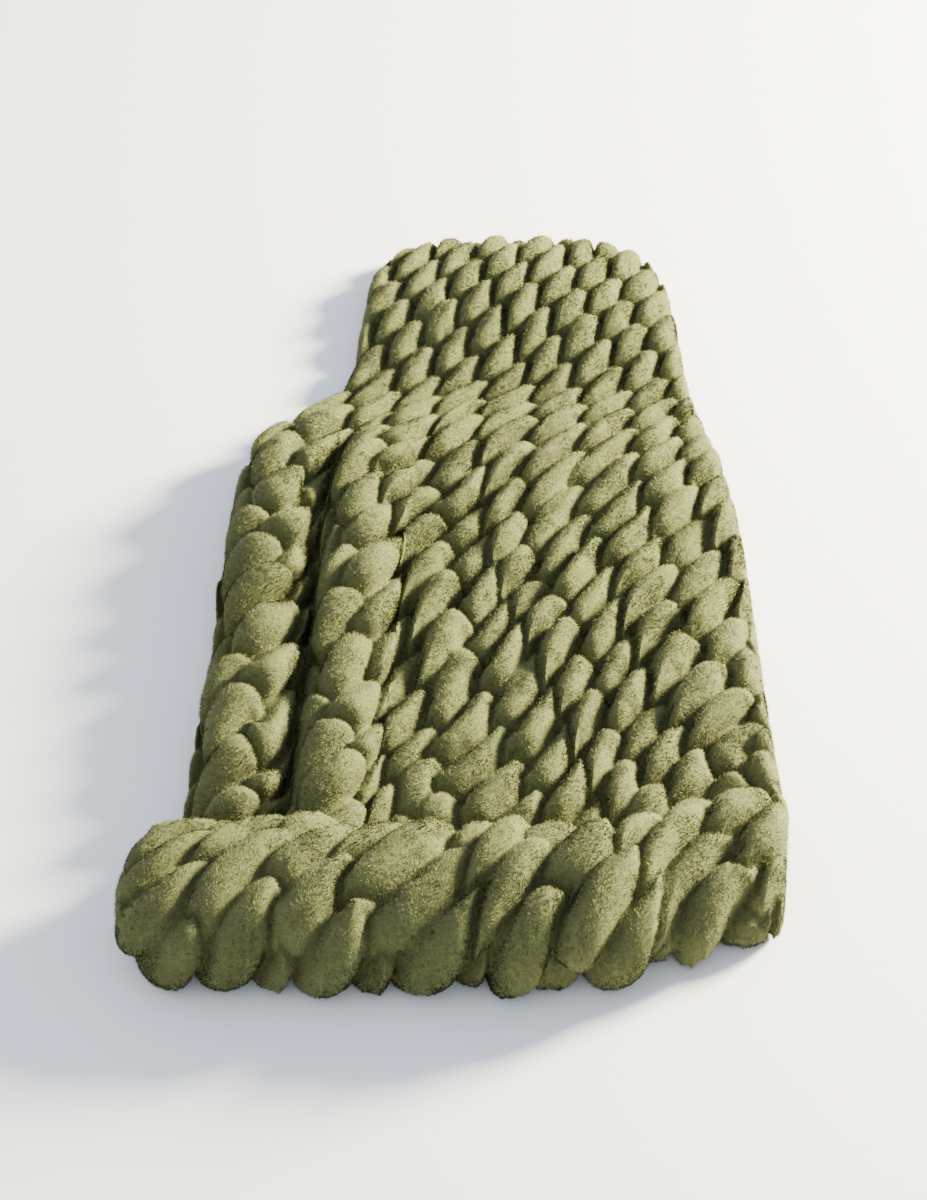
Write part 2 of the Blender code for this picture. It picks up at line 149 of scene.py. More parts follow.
# The rolls lie evenly at the far end and unevenly from the widening on: in size, in the wander of stitch
# lines and creases (in columns and in rolls), in the hook of each column against the next, and in the
# places where rolls run together: a share of the creases, and stretches of the stitch lines, this many
# rolls long, where a noise of its own for each line is high
EVEN_END = 0.30
UNEVEN_FROM = 0.30
UNEVEN_LENGTH = 0.20
UNEVEN_BY = 0.60
WANDER_SPACING = 0.12
WANDER_SIDEWAYS = 0.30
WANDER_LENGTHWISE = 0.30
HOOK = 0.34
HOOK_SPACING = 0.18
MERGED_SHARE = 0.14
MERGED_DEPTH = 0.48
JOINED_SPACING = 0.8
JOINED_LINES_APART = 7.0
JOINED_FROM = 0.45
JOINED_SOFTNESS = 0.40

# How sharply each of these sets in towards the creases or the stitch lines
HOOK_POWER = 4
MERGED_POWER = 3
JOINED_POWER = 5

# What makes two whole numbers and a seed into a scattered one, and a seed for each kind of unevenness
SCATTER = (127.1, 311.7, 74.7)
SCATTER_SCALE = 43758.5453
SIDEWAYS_SEED = 8
LENGTHWISE_SEED = 9
HOOK_SEED = 11
SIZE_SEED = 1
MERGED_SEED = 2
JOINED_SEED = 3

# The net over the rolls: samples across each column and along each roll, the rows of places that its reach
# is read from, how far it goes past the hems before it is cut, and the lines of points beside the hems
SAMPLES_ACROSS = 14
SAMPLES_ALONG = 16
REACH_ROWS = 60
MARGIN = 0.022
HEM_LINES = (0.4 * HEM_ROUNDING, 0.1 * HEM_ROUNDING, 0.0)
CUT_SNAP = 1e-5
WELD = 0.0004

# The smooth underside is filled with points this far apart
UNDERSIDE_SPACING = 0.0125
FILL_SNAP = 1e-6

# The least length that a vector is divided by
TINY = 1e-12

# How far beyond the hems the weave is worked out, and the steps for it, the folds and the cloth's slope
BEYOND = 0.30
INVERSE_STEPS = 30
SLOPE_STEP = 0.002
FOLD_TABLE_ROWS = 143
FOLD_TABLE_STEPS = 241
FOLD_TABLE_COLUMNS = 161
PATH_STEPS = 1421
PITCH_STEPS = 601

# The creases are rounded off over this reach in the cloth
SOFTENING = 0.0026
SOFTENING_STEPS = 6

# The pile: how many tufts a piece has, a tuft's length and width, the smallest and largest share of both,
# how far its root lies below the puffed face, and the least height of its tip above the surface
TUFTS = 195000
PILE_LENGTH = 0.0034
PILE_WIDTH = 0.0008
SMALLEST_TUFT = 0.7
LARGEST_TUFT = 1.3
PILE_ROOT = 0.0016
LEAST_HEIGHT = 0.0004
PILE_SEED = 40

# Tufts lean over with their patch, a little with their clump, and by a jitter of their own. Their shading
# is scattered, because each fibre catches the light for itself.
PILE_LEAN = 0.95
PATCH_SPACING = 0.030
PATCH_SEED = 31
CLUMP_SPACING = 0.0055
CLUMP_SHARE = 0.45
CLUMP_SEED = 21
PILE_JITTER = 0.45
PILE_SHADE = 0.38

# The bake's map, in shares of its side: the puffed face, the underside and the rim lie side by side, and
# each tuft has a triangle of its own in a square cell
BAKE_MAP = "OFBake"
MAP_MARGIN = 0.01
MAP_LENGTH = 0.98
UNDERSIDE_MAP_LEFT = 0.54
UNDERSIDE_MAP_WIDTH = 0.42
RIM_MAP = (0.975, 0.99)
TUFT_MAP = ((0.04, 0.04), (0.96, 0.04), (0.50, 0.96))

# The plush is matte with a faint broad sheen. Two noises mottle its green between a dark and a light one:
# each noise's scale, detail and share, and the stretch of their sum that the two greens span.
PLUSH_ROUGHNESS = 0.9
PLUSH_SPECULAR = 0.2
SHEEN_WEIGHT = 0.12
SHEEN_ROUGHNESS = 0.45
SHEEN_TINT = (0.62, 0.63, 0.34)
BROAD_NOISE = (30.0, 3.0, 0.45)
FINE_NOISE = (260.0, 2.0, 0.55)
MOTTLE_SPAN = (0.30, 0.72)
BUMP_STRENGTH = 0.6
BACKING_BUMP = 0.0006
BACKING_GREENS = ((0.088, 0.096, 0.031), (0.120, 0.128, 0.046))
PILE_GREENS = (
    ((0.086, 0.094, 0.029), (0.122, 0.130, 0.045)),
    ((0.098, 0.105, 0.035), (0.136, 0.143, 0.052)),
    ((0.072, 0.080, 0.024), (0.104, 0.112, 0.037)),
    ((0.112, 0.119, 0.041), (0.154, 0.160, 0.061)),
)

# The studio: a pale floor, daylight from all round, and two lights with their places, sizes, powers and
# colours
FLOOR_SIZE = 14.0
FLOOR_COLOUR = (0.94, 0.94, 0.93)
FLOOR_ROUGHNESS = 0.8
DAYLIGHT_COLOUR = (0.78, 0.845, 1.0)
DAYLIGHT_STRENGTH = 1.32
LIGHTS = {
    "key": ((3.2, 1.4, 1.35), 1.0, 1650.0, (1.0, 0.945, 0.70)),
    "fill": ((-2.4, -1.6, 2.4), 2.6, 22.0, (0.93, 0.97, 1.0)),
}

# The camera looks down on the cloth from before its near end
SENSOR_HEIGHT = 24.0
LENS = 84.5
CAMERA_ELEVATION = 45.0
CAMERA_DISTANCE = 5.0
CAMERA_TARGET = (0.008, -0.04, 0.04)


def smooth_step(t):
    t = np.clip(t, 0.0, 1.0)
    return t * t * (3.0 - 2.0 * t)


def section(name, v):
    """One column of the table of sections, eased between its rows."""
    rows = np.array(SECTIONS)
    column = rows[:, SECTION_COLUMNS.index(name)]
    offsets = np.linspace(-SECTION_SOFTNESS, SECTION_SOFTNESS, SECTION_STEPS)
    return sum(np.interp(v + offset, rows[:, 0], column) for offset in offsets) / len(offsets)


def folds(across, v):
    """Height of the two folds at a distance from the left hem."""
    height = np.zeros_like(across + v)
    for (middle, half_width), name in ((OUTER_FOLD, "outer_fold"), (INNER_FOLD, "inner_fold")):
        t = np.clip((across - middle) / half_width, -1.0, 1.0)
        height = height + section(name, v) * np.cos(0.5 * np.pi * t) ** 2
    return height


def fold_table():
    """Distances from the left hem at which evenly spaced points of the cloth lie, in rows along it."""
    lengthwise = np.linspace(0.0, LENGTH, FOLD_TABLE_ROWS)
    steps = np.linspace(0.0, 1.0, FOLD_TABLE_STEPS)
    shares = np.linspace(0.0, 1.0, FOLD_TABLE_COLUMNS)
    table = []
    for at in lengthwise:
        offset = steps * (section("right", at) - section("left", at))
        height = folds(offset, np.full_like(offset, at))
        run = np.concatenate(([0.0], np.cumsum(np.hypot(np.diff(offset), np.diff(height)))))
        table.append(np.interp(shares, run / run[-1], offset))
    return np.array(table)


FOLD_TABLE = fold_table()


def place_across(x, v):
    """Distance from the left hem at which the cloth's point x lies, spread evenly over the folds."""
    row = np.clip(v / LENGTH, 0.0, 1.0) * (FOLD_TABLE_ROWS - 1)
    col = np.clip(x / WIDTH, 0.0, 1.0) * (FOLD_TABLE_COLUMNS - 1)
    row_0 = np.minimum(row.astype(int), FOLD_TABLE_ROWS - 2)
    col_0 = np.minimum(col.astype(int), FOLD_TABLE_COLUMNS - 2)
    row_t = row - row_0
    col_t = col - col_0
    near = FOLD_TABLE[row_0, col_0] * (1.0 - col_t) + FOLD_TABLE[row_0, col_0 + 1] * col_t
    far = FOLD_TABLE[row_0 + 1, col_0] * (1.0 - col_t) + FOLD_TABLE[row_0 + 1, col_0 + 1] * col_t
    return near * (1.0 - row_t) + far * row_t


def run_along(v):
    """Forward reach and height of the cloth along its length, over the roll at its near end."""
    steps = np.linspace(0.0, LENGTH, PATH_STEPS)
    knots = np.array(ROLL_PATH)
    heading = np.radians(np.interp(steps - ROLL_START, knots[:, 0], knots[:, 1]))
    step = steps[1] - steps[0]
    reach = np.concatenate(([0.0], np.cumsum(np.cos(heading[:-1]) * step)))
    height = np.concatenate(([0.0], np.cumsum(np.sin(heading[:-1]) * step)))
    return np.interp(v, steps, reach), np.interp(v, steps, height), reach.max()


def lie(x, v):
    """Where the underside of the cloth's point (x, v) lies."""
    offset = place_across(x, v)
    reach, height, nose = run_along(v)
    in_roll = smooth_step((v - ROLL_START - ROLL_RISE[0]) / ROLL_RISE[1])
    drawn_in = 1.0 - in_roll * LEFT_END_TAPER * np.clip(1.0 - x / LEFT_END_TAPER_LENGTH, 0.0, 1.0) ** 2
    axis_reach = nose - ROLL_AXIS_BEFORE_NOSE
    reach = axis_reach + (reach - axis_reach) * drawn_in
    height = np.where(height > 0.0, ROLL_AXIS_HEIGHT + (height - ROLL_AXIS_HEIGHT) * drawn_in, 0.0)
    right_end = smooth_step((x / WIDTH - RIGHT_END_FROM) / RIGHT_END_WIDTH)
    reach = reach - RIGHT_END_SETBACK * right_end * smooth_step((v - SETBACK_FROM) / SETBACK_LENGTH)
    height = height * (1.0 - RIGHT_END_LOWER * right_end)
    corner = np.abs(2.0 * x / WIDTH - 1.0) ** FAR_CORNER_POWER
    reach = reach + FAR_CORNER_ROUNDING * corner * np.clip(1.0 - v / FAR_CORNER_LENGTH, 0.0, 1.0)
    swell = section("swell", v) * np.sin(np.pi * np.clip(x / WIDTH, 0.0, 1.0)) ** SWELL_FULLNESS
    points = (section("left", v) + offset, -reach, np.maximum(height, 0.0) + folds(offset, v) + swell)
    return np.stack(points, axis=-1)


def outward(x, v):
    """The direction that the rolls stand out in: off the cloth, but in the folds more upright."""
    across = lie(np.minimum(x + SLOPE_STEP, WIDTH), v) - lie(np.maximum(x - SLOPE_STEP, 0.0), v)
    along = lie(x, np.minimum(v + SLOPE_STEP, LENGTH)) - lie(x, np.maximum(v - SLOPE_STEP, 0.0))
    normal = np.cross(along, across)
    normal[..., 0] *= SIDEWAYS_LEAN
    return normal / np.linalg.norm(normal, axis=-1, keepdims=True)


def scatter(i, j, seed):
    """A number from 0 to 1 for each pair of whole numbers."""
    value = np.sin(i * SCATTER[0] + j * SCATTER[1] + seed * SCATTER[2]) * SCATTER_SCALE
    return value - np.floor(value)


def noise(x, v, spacing, seed):
    """Smooth unevenness from -1 to 1, with lumps this far apart."""
    i, j = np.floor(x / spacing), np.floor(v / spacing)
    along_x, along_v = smooth_step(x / spacing - i), smooth_step(v / spacing - j)
    near = scatter(i, j, seed) * (1.0 - along_x) + scatter(i + 1, j, seed) * along_x
    far = scatter(i, j + 1, seed) * (1.0 - along_x) + scatter(i + 1, j + 1, seed) * along_x
    return 2.0 * (near * (1.0 - along_v) + far * along_v) - 1.0


def unevenness(v):
    """The rolls lie evenly at the far end, and unevenly from the widening to the near end."""
    return EVEN_END + (1.0 - EVEN_END) * smooth_step((v - UNEVEN_FROM) / UNEVEN_LENGTH)


def wander(x, v):
    """How far the stitch lines and the creases wander, in columns and in rolls."""
    sideways = WANDER_SIDEWAYS * noise(x, v, WANDER_SPACING, SIDEWAYS_SEED)
    lengthwise = WANDER_LENGTHWISE * noise(x, v, WANDER_SPACING, LENGTHWISE_SEED)
    return unevenness(v) * sideways, unevenness(v) * lengthwise


def hook(column, v):
    """Each column's rolls sit a little before or after its neighbours', and bend at the stitch lines."""
    i, j = np.floor(column), np.floor(v / HOOK_SPACING)
    t = smooth_step(v / HOOK_SPACING - j)
    shift = 2.0 * (scatter(i, j, HOOK_SEED) * (1.0 - t) + scatter(i, j + 1, HOOK_SEED) * t) - 1.0
    return HOOK * unevenness(v) * shift * (1.0 - (2.0 * (column - i) - 1.0) ** HOOK_POWER)


def fan(x, v):
    """The columns on the right side spread towards the near end."""
    across = smooth_step((x / WIDTH - FAN_ACROSS[0]) / FAN_ACROSS[1])
    return FAN * across * smooth_step((v - FAN_ALONG[0]) / FAN_ALONG[1])


def rolls_before(v):
    """Rolls along a column up to v, with the steps and counts that it is read from."""
    steps = np.linspace(-BEYOND, LENGTH + BEYOND, PITCH_STEPS)
    count = np.concatenate(([0.0], np.cumsum(np.diff(steps) / section("pitch", steps[:-1]))))
    return np.interp(v, steps, count), steps, count


def weave_of(x, v):
    """Columns and rolls counted to the cloth's point (x, v)."""
    sideways, lengthwise = wander(x, v)
    level = section("slide", v) + (x / WIDTH - 0.5) * section("columns", v)
    column = level - fan(x, v) + sideways
    roll = rolls_before(v)[0] + SKEW * level + lengthwise + hook(column, v)
    return column, roll


def stagger(i):
    """Every second column's rolls sit half a roll on."""
    return 0.5 * np.mod(i, 2.0)


def within_roll(column, roll):
    """Which column and roll a place in the weave is in, and where in them, from -1 to 1."""
    line = np.round(column)
    line_at = line + 0.5 * INTERLOCK * np.cos(2.0 * np.pi * roll) * (1.0 - 2.0 * np.mod(line, 2.0))
    i = np.where(column < line_at, line - 1.0, line)
    j = np.floor(roll + stagger(i))
    c = 2.0 * (roll + stagger(i) - j) - 1.0
    a = 2.0 * (column - i - 0.5) / (1.0 + INTERLOCK * np.cos(np.pi * c))
    return i, j, np.clip(a, -1.0, 1.0), c


def cloth_point(column, roll):
    """The inverse of weave_of."""
    _, steps, count = rolls_before(0.0)
    x = np.full_like(column, 0.5 * WIDTH)
    v = np.full_like(column, 0.5 * LENGTH)
    for _ in range(INVERSE_STEPS):
        sideways, lengthwise = wander(x, v)
        level = column + fan(x, v) - sideways
        v_next = np.interp(roll - SKEW * level - lengthwise - hook(column, v), count, steps)
        x_next = WIDTH * (0.5 + (level - section("slide", v_next)) / section("columns", v_next))
        x = 0.5 * (x + np.clip(x_next, -BEYOND, WIDTH + BEYOND))
        v = 0.5 * (v + v_next)
    return x, v


def thickness(x, v):
    """How thick the cloth stands at its point (x, v), to the tips of its pile."""
    column, roll = weave_of(x, v)
    i, j, a, c = within_roll(column, roll)
    end = np.sqrt(np.clip(1.0 - np.abs(a) ** END_FULLNESS, 0.0, 1.0))
    narrowed = c / (1.0 - END_NARROWING * (1.0 - end))
    side = np.sqrt(np.clip(1.0 - narrowed * narrowed, 0.0, 1.0))
    uneven = unevenness(v)
    from_left = place_across(x, v)
    folded = section("outer_fold", v) / FULL_FOLD

    # Creases are deepest at the stitch lines, and here and there two neighbouring rolls run together,
    # but not over a stitch line on the folds.
    crease = CREASE_DEPTH * end
    size = 1.0 + UNEVEN_BY * uneven * (scatter(i, j, SIZE_SEED) - 0.5)
    merged = scatter(i, j + np.round(0.5 * (c + 1.0)), MERGED_SEED) < MERGED_SHARE * uneven
    line = i + np.round(0.5 * (a + 1.0))
    along_line = noise(JOINED_LINES_APART * line, roll, JOINED_SPACING, JOINED_SEED)
    joined = smooth_step((along_line - JOINED_FROM) / JOINED_SOFTNESS)
    height = crease + (1.0 - crease) * size * side * end
    height = height + MERGED_DEPTH * merged * np.abs(c) ** MERGED_POWER * end
    on_folds = folded * smooth_step((sum(INNER_FOLD) - from_left) / FOLD_EDGE + 1.0)
    height = height + MERGED_DEPTH * joined * uneven * (1.0 - on_folds) * np.abs(a) ** JOINED_POWER

    from_hem = np.minimum(np.minimum(x, WIDTH - x), np.minimum(v, LENGTH - v))
    near = 1.0 - np.clip(from_hem / HEM_ROUNDING, 0.0, 1.0)
    rounding = np.sqrt(1.0 - near * near)
    from_crease = np.abs(v - ROLL_START - CREASE_MIDDLE)
    at_crease = CREASE_PINCH * np.clip(1.0 - from_crease / CREASE_HALF_WIDTH, 0.0, 1.0)
    from_valley = np.abs(from_left - sum(OUTER_FOLD))
    in_valley = VALLEY_PINCH * folded * np.clip(1.0 - from_valley / VALLEY_REACH, 0.0, 1.0)
    puff = section("puff", v) * height * (1.0 - at_crease) * (1.0 - in_valley)
    puff = puff + NOSE_THICKENING * smooth_step(1.0 - np.abs(v - ROLL_START - NOSE) / NOSE_REACH)
    return HEM_THICKNESS + puff * rounding


def softened(x, v):
    """The thickness with its creases rounded off by the pile."""
    total = thickness(x, v)
    for turn in 2.0 * np.pi * np.arange(SOFTENING_STEPS) / SOFTENING_STEPS:
        near_x = np.clip(x + SOFTENING * np.cos(turn), 0.0, WIDTH)
        near_v = np.clip(v + SOFTENING * np.sin(turn), 0.0, LENGTH)
        total = total + thickness(near_x, near_v)
    return total / (SOFTENING_STEPS + 1)


def upper_side(x, v):
    """The puffed face to the tips of its pile, pressed flat where it lies on the surface."""
    points = lie(x, v) + outward(x, v) * softened(x, v)[..., None]
    points[..., 2] = np.maximum(points[..., 2], 0.0)
    return points + np.array(TO_CENTRE)


def under_side(x, v):
    return lie(x, v) + np.array(TO_CENTRE)


def cloth_grid():
    """The places of a net whose lines follow the stitch lines and creases, a row for each line along."""
    column, roll = weave_of(*np.meshgrid((0.0, 0.5 * WIDTH, WIDTH), np.linspace(0.0, LENGTH, REACH_ROWS)))
    first_column, last_column = int(np.floor(column.min())) - 1, int(np.ceil(column.max())) + 1
    first_roll, last_roll = int(np.floor(roll.min())) - 1, int(np.ceil(roll.max())) + 1
    across = 0.5 * (1.0 - np.cos(np.pi * np.arange(SAMPLES_ACROSS) / SAMPLES_ACROSS))
    along = np.arange(SAMPLES_ALONG) / SAMPLES_ALONG
    columns = [i + part for i in range(first_column, last_column) for part in across]
    rolls = [j + part for j in range(first_roll, last_roll) for part in along]
    grid_column, grid_roll = np.meshgrid(columns, rolls, indexing="ij")
    i = np.floor(grid_column)
    widened = 1.0 - INTERLOCK * np.cos(2.0 * np.pi * (grid_roll + stagger(i)))
    return cloth_point(i + 0.5 + (grid_column - i - 0.5) * widened, grid_roll)


def cloth_net():
    """The cloth laid flat as a net over its rolls, cut at its hems."""
    x, v = cloth_grid()
    inside = (x > -MARGIN) & (x < WIDTH + MARGIN) & (v > -MARGIN) & (v < LENGTH + MARGIN)
    whole = inside[:-1, :-1] & inside[1:, :-1] & inside[1:, 1:] & inside[:-1, 1:]
    number = np.arange(x.size).reshape(x.shape)
    corners = (number[:-1, :-1], number[1:, :-1], number[1:, 1:], number[:-1, 1:])
    used, faces = np.unique(np.stack(corners, axis=-1)[whole], return_inverse=True)
    places = np.stack((x.ravel()[used], v.ravel()[used], np.zeros(len(used))), axis=-1)
    flat = bpy.data.meshes.new("cloth_net")
    flat.from_pydata(places.tolist(), [], faces.reshape(-1, 4).tolist())
    net = bmesh.new()
    net.from_mesh(flat)
    bpy.data.meshes.remove(flat)
    hems = (
        ((0.0, 0.0, 0.0), (-1.0, 0.0, 0.0)),
        ((WIDTH, 0.0, 0.0), (1.0, 0.0, 0.0)),
        ((0.0, 0.0, 0.0), (0.0, -1.0, 0.0)),
        ((0.0, LENGTH, 0.0), (0.0, 1.0, 0.0)),
    )
    for inset in HEM_LINES:
        for place, direction in hems:
            direction = Vector(direction)
            bmesh.ops.bisect_plane(
                net,
                geom=[*net.verts, *net.edges, *net.faces],
                dist=CUT_SNAP,
                plane_co=Vector(place) - direction * inset,
                plane_no=direction,
                clear_outer=inset == 0.0,
            )
    bmesh.ops.remove_doubles(net, verts=list(net.verts), dist=WELD)
    bmesh.ops.triangulate(net, faces=list(net.faces))
    return net


def hem_loop(net):
    """Indices of the net's outer points, in order."""
    following = {}
    for edge in net.edges:
        if edge.is_boundary:
            first = edge.link_loops[0].vert
            following[first.index] = edge.other_vert(first).index
    loop = [min(following)]
    while following[loop[-1]] != loop[0]:
        loop.append(following[loop[-1]])
    return loop


def underside_net(outline):
    """The smooth underside's places and triangles, and which of the places each outline point is."""
    across = np.arange(0.5 * UNDERSIDE_SPACING, WIDTH, UNDERSIDE_SPACING)
    along = np.arange(0.5 * UNDERSIDE_SPACING, LENGTH, UNDERSIDE_SPACING)
    inner = [(x, v) for x in across for v in along]
    count = len(outline)
    points = [Vector(point) for point in [*outline, *inner]]
    ring = [(k, (k + 1) % count) for k in range(count)]
    found = delaunay_2d_cdt(points, ring, [], 1, FILL_SNAP)
    at = [min(original) if original else None for original in found[3]]
    places = np.array([tuple(place) for place in found[0]])
    faces = np.array([face for face in found[2] if len(face) == 3])
    place_of = {first: k for k, first in enumerate(at) if first is not None and first < count}
    return places, faces, place_of


def add_map(mesh, uv):
    layer = mesh.uv_layers.new(name=BAKE_MAP)
    layer.data.foreach_set("uv", np.ascontiguousarray(uv, dtype=np.float32).ravel())


def linked(name, mesh, material):
    piece = bpy.data.objects.new(name, mesh)
    mesh.materials.append(material)
    bpy.context.scene.collection.objects.link(piece)
    return piece


def unit(vectors):
    """The vectors at a length of 1, or still zero where they are."""
    return vectors / np.maximum(np.linalg.norm(vectors, axis=-1, keepdims=True), TINY)


def vertex_normals(points, faces):
    corners = points[faces]
    cross = np.cross(corners[:, 1] - corners[:, 0], corners[:, 2] - corners[:, 0])
    normals = np.zeros_like(points)
    for k in range(3):
        np.add.at(normals, faces[:, k], cross)
    return unit(normals)


def backing_map(upper, lower, rim_length):
    """The bake's map for the corners of the puffed face, the underside and the rim between them."""
    margin = np.array((MAP_MARGIN, MAP_MARGIN))
    scale = MAP_LENGTH / LENGTH
    upper_uv = upper * scale + margin
    lower_uv = lower * np.array((UNDERSIDE_MAP_WIDTH / WIDTH, scale))
    lower_uv = lower_uv + np.array((UNDERSIDE_MAP_LEFT, MAP_MARGIN))
    along = np.linspace(MAP_MARGIN, 1.0 - MAP_MARGIN, rim_length + 1)
    inner, outer = (np.stack((np.full_like(along, side), along), axis=-1) for side in RIM_MAP)
    rim_uv = np.concatenate(
        (
            np.stack((inner[:-1], inner[1:], outer[1:]), axis=1),
            np.stack((inner[:-1], outer[1:], outer[:-1]), axis=1),
        )
    )
    return np.concatenate((upper_uv, lower_uv, rim_uv))


def backing(material):
    """The cloth, one closed sheet, and the points, triangles and flat places that carry its pile."""
    net = cloth_net()
    net.verts.index_update()
    flat = np.array([vert.co[:2] for vert in net.verts])
    upper = np.array([[vert.index for vert in face.verts] for face in net.faces])[:, ::-1]
    loop = hem_loop(net)
    net.free()

    low, lower, place_of = underside_net([tuple(flat[k]) for k in loop])
    here = np.array(loop)
    following = np.roll(here, -1)
    low_here = np.array([place_of[k] for k in range(len(loop))]) + len(flat)
    low_following = np.roll(low_here, -1)
    rim = np.concatenate(
        (
            np.stack((here, following, low_following), axis=-1),
            np.stack((here, low_following, low_here), axis=-1),
        )
    )
    top = upper_side(flat[:, 0], flat[:, 1])
    top = top - PILE_ROOT * vertex_normals(top, upper)
    top[:, 2] = np.maximum(top[:, 2], PILE_ROOT)
    points = np.concatenate((top, under_side(low[:, 0], low[:, 1])))
    faces = np.concatenate((upper, lower + len(flat), rim))

    mesh = bpy.data.meshes.new("blanket_cloth")
    mesh.from_pydata(points.tolist(), [], faces.tolist())
    add_map(mesh, backing_map(flat[upper], low[lower], len(loop)))
    body = bmesh.new()
    body.from_mesh(mesh)
    bmesh.ops.recalc_face_normals(body, faces=list(body.faces))
    body.to_mesh(mesh)
    body.free()
    mesh.polygons.foreach_set("use_smooth", np.ones(len(mesh.polygons), bool))
    piled = np.concatenate((upper, rim))
    return linked("blanket_cloth", mesh, material), points, piled, np.concatenate((flat, low))


def tangent(vectors, normal):
    """What is left of the vectors in the surface."""
    return vectors - normal * (vectors * normal).sum(axis=1, keepdims=True)


def tuft_roots(pick, points, faces, flat, normals):
    """A root, a place in the flat cloth and a normal for each tuft, spread evenly over the triangles."""
    corners = points[faces]
    cross = np.cross(corners[:, 1] - corners[:, 0], corners[:, 2] - corners[:, 0])
    run = np.cumsum(np.linalg.norm(cross, axis=1))
    at = np.searchsorted(run, (np.arange(TUFTS) + pick.random(TUFTS)) / TUFTS * run[-1])
    at = np.minimum(at, len(faces) - 1)
    a, b = pick.random(TUFTS), pick.random(TUFTS)
    over = a + b > 1.0
    a[over], b[over] = 1.0 - a[over], 1.0 - b[over]
    share = np.stack((1.0 - a - b, a, b), axis=-1)[..., None]
    root, cloth, normal = ((values[faces[at]] * share).sum(axis=1) for values in (points, flat, normals))
    return root, cloth, unit(normal)


def tuft_lean(pick, x, v, normal):
    """How each tuft leans over: with its patch, with its clump, and by itself."""
    swirl = np.stack(
        [
            CLUMP_SHARE * noise(x, v, CLUMP_SPACING, CLUMP_SEED + k)
            + noise(x, v, PATCH_SPACING, PATCH_SEED + k)
            for k in range(3)
        ],
        axis=-1,
    )
    swirl = unit(tangent(swirl, normal))
    return tangent(PILE_LEAN * swirl + PILE_JITTER * pick.normal(size=(TUFTS, 3)), normal)


def uneven_size(pick, size):
    """The size for each tuft, from its smallest share to its largest."""
    return size * (SMALLEST_TUFT + (LARGEST_TUFT - SMALLEST_TUFT) * pick.random(TUFTS))[:, None]


def pile(name, points, faces, flat, normals, material, seed):
    """One piece of the pile: tufts of one triangle each."""
    pick = np.random.default_rng(seed)
    root, cloth, normal = tuft_roots(pick, points, faces, flat, normals)
    x, v = cloth[:, 0], cloth[:, 1]
    direction = unit(normal + tuft_lean(pick, x, v, normal))
    side = unit(np.cross(direction, normal))
    normal = unit(normal + PILE_SHADE * pick.normal(size=(TUFTS, 3)))
    length = uneven_size(pick, PILE_LENGTH)
    half_width = uneven_size(pick, 0.5 * PILE_WIDTH)
    corners = (root - side * half_width, root + side * half_width, root + direction * length)
    verts = np.stack(corners, axis=1)
    verts[..., 2] = np.maximum(verts[..., 2], LEAST_HEIGHT)

    # In the order of their places, so that neighbours lie together in the bake's map
    side_cells = math.ceil(math.sqrt(TUFTS))
    order = np.lexsort((x, np.floor(v / LENGTH * math.sqrt(TUFTS))))
    verts, normal = verts[order], normal[order]
    mesh = bpy.data.meshes.new(name)
    mesh.vertices.add(3 * TUFTS)
    mesh.vertices.foreach_set("co", verts.astype(np.float32).ravel())
    mesh.loops.add(3 * TUFTS)
    mesh.loops.foreach_set("vertex_index", np.arange(3 * TUFTS, dtype=np.int32))
    mesh.polygons.add(TUFTS)
    mesh.polygons.foreach_set("loop_start", np.arange(0, 3 * TUFTS, 3, dtype=np.int32))
    mesh.update(calc_edges=True)
    mesh.validate()
    cell = np.arange(TUFTS)
    corner = np.stack((cell % side_cells, cell // side_cells), axis=-1)[:, None, :]
    add_map(mesh, (corner + np.array(TUFT_MAP)[None]) / side_cells)
    mesh.polygons.foreach_set("use_smooth", np.ones(TUFTS, bool))
    mesh.normals_split_custom_set_from_vertices(np.repeat(normal, 3, axis=0).astype(np.float32))
    return linked(name, mesh, material)


def noise_node(nodes, links, place, scale, detail):
    node = nodes.new("ShaderNodeTexNoise")
    node.inputs["Scale"].default_value = scale
    node.inputs["Detail"].default_value = detail
    links.new(place.outputs["Object"], node.inputs["Vector"])
    return node


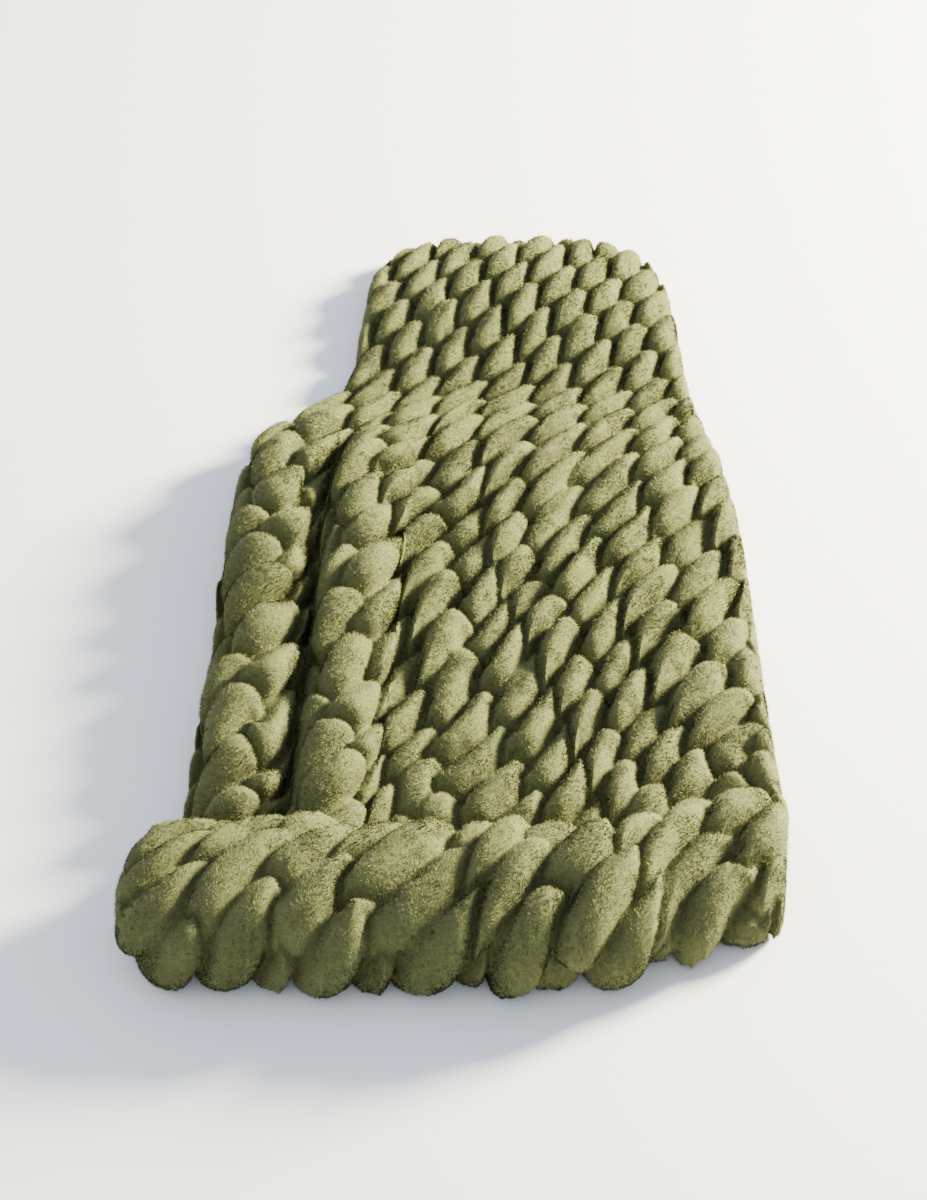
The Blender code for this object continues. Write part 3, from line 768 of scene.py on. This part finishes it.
def plush_material(name, greens, bump):
    """Short plush: a mottled green with a broad soft sheen."""
    material = bpy.data.materials.new(name)
    material.use_nodes = True
    nodes, links = material.node_tree.nodes, material.node_tree.links
    shader = nodes["Principled BSDF"]
    shader.inputs["Roughness"].default_value = PLUSH_ROUGHNESS
    shader.inputs["Specular IOR Level"].default_value = PLUSH_SPECULAR
    shader.inputs["Sheen Weight"].default_value = SHEEN_WEIGHT
    shader.inputs["Sheen Roughness"].default_value = SHEEN_ROUGHNESS
    shader.inputs["Sheen Tint"].default_value = (*SHEEN_TINT, 1.0)

    place = nodes.new("ShaderNodeTexCoord")
    broad_scale, broad_detail, broad_share = BROAD_NOISE
    fine_scale, fine_detail, fine_share = FINE_NOISE
    broad = noise_node(nodes, links, place, broad_scale, broad_detail)
    fine = noise_node(nodes, links, place, fine_scale, fine_detail)
    broad_part = nodes.new("ShaderNodeMath")
    broad_part.operation = "MULTIPLY"
    broad_part.inputs[1].default_value = broad_share
    mottle = nodes.new("ShaderNodeMath")
    mottle.operation = "MULTIPLY_ADD"
    mottle.inputs[1].default_value = fine_share
    ramp = nodes.new("ShaderNodeValToRGB")
    for element, position, green in zip(ramp.color_ramp.elements, MOTTLE_SPAN, greens):
        element.position = position
        element.color = (*green, 1.0)
    links.new(broad.outputs["Fac"], broad_part.inputs[0])
    links.new(fine.outputs["Fac"], mottle.inputs[0])
    links.new(broad_part.outputs[0], mottle.inputs[2])
    links.new(mottle.outputs[0], ramp.inputs["Fac"])
    links.new(ramp.outputs["Color"], shader.inputs["Base Color"])
    if bump:
        rough = nodes.new("ShaderNodeBump")
        rough.inputs["Strength"].default_value = BUMP_STRENGTH
        rough.inputs["Distance"].default_value = bump
        links.new(fine.outputs["Fac"], rough.inputs["Height"])
        links.new(rough.outputs["Normal"], shader.inputs["Normal"])
    return material


def blanket():
    """The cloth and the pieces of pile on it."""
    cloth, points, faces, flat = backing(plush_material("plush_backing", BACKING_GREENS, BACKING_BUMP))
    normals = vertex_normals(points, faces)
    tufts = []
    for k, greens in enumerate(PILE_GREENS):
        look = plush_material(f"plush_pile_{k + 1}", greens, 0.0)
        tufts.append(pile(f"blanket_pile_{k + 1}", points, faces, flat, normals, look, PILE_SEED + k))
    return cloth, tufts


def floor():
    half = 0.5 * FLOOR_SIZE
    corners = [(-half, -half, 0.0), (half, -half, 0.0), (half, half, 0.0), (-half, half, 0.0)]
    mesh = bpy.data.meshes.new("floor")
    mesh.from_pydata(corners, [], [(0, 1, 2, 3)])
    material = bpy.data.materials.new("floor")
    material.use_nodes = True
    shader = material.node_tree.nodes["Principled BSDF"]
    shader.inputs["Base Color"].default_value = (*FLOOR_COLOUR, 1.0)
    shader.inputs["Roughness"].default_value = FLOOR_ROUGHNESS
    linked("floor", mesh, material)


def aimed(thing, place, target):
    """Puts a light or camera in its place and turns it to the target."""
    thing.location = place
    thing.rotation_euler = (Vector(target) - Vector(place)).to_track_quat("-Z", "Y").to_euler()
    bpy.context.scene.collection.objects.link(thing)


def studio():
    floor()
    world = bpy.data.worlds.new("studio")
    bpy.context.scene.world = world
    world.use_nodes = True
    background = world.node_tree.nodes["Background"]
    background.inputs["Color"].default_value = (*DAYLIGHT_COLOUR, 1.0)
    background.inputs["Strength"].default_value = DAYLIGHT_STRENGTH
    for name, (place, size, power, colour) in LIGHTS.items():
        data = bpy.data.lights.new(name, "AREA")
        data.shape = "DISK"
        data.size = size
        data.energy = power
        data.color = colour
        aimed(bpy.data.objects.new(name, data), place, (0.0, 0.0, 0.0))


def camera():
    data = bpy.data.cameras.new("camera")
    data.sensor_fit = "VERTICAL"
    data.sensor_height = SENSOR_HEIGHT
    data.lens = LENS
    eye = bpy.data.objects.new("camera", data)
    elevation = math.radians(CAMERA_ELEVATION)
    target = Vector(CAMERA_TARGET)
    from_target = CAMERA_DISTANCE * Vector((0.0, -math.cos(elevation), math.sin(elevation)))
    aimed(eye, target + from_target, target)
    bpy.context.scene.camera = eye


camera()
studio()
cloth, tufts = blanket()
for piece in (cloth, *tufts):
    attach(piece, "root")
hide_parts("blanket")
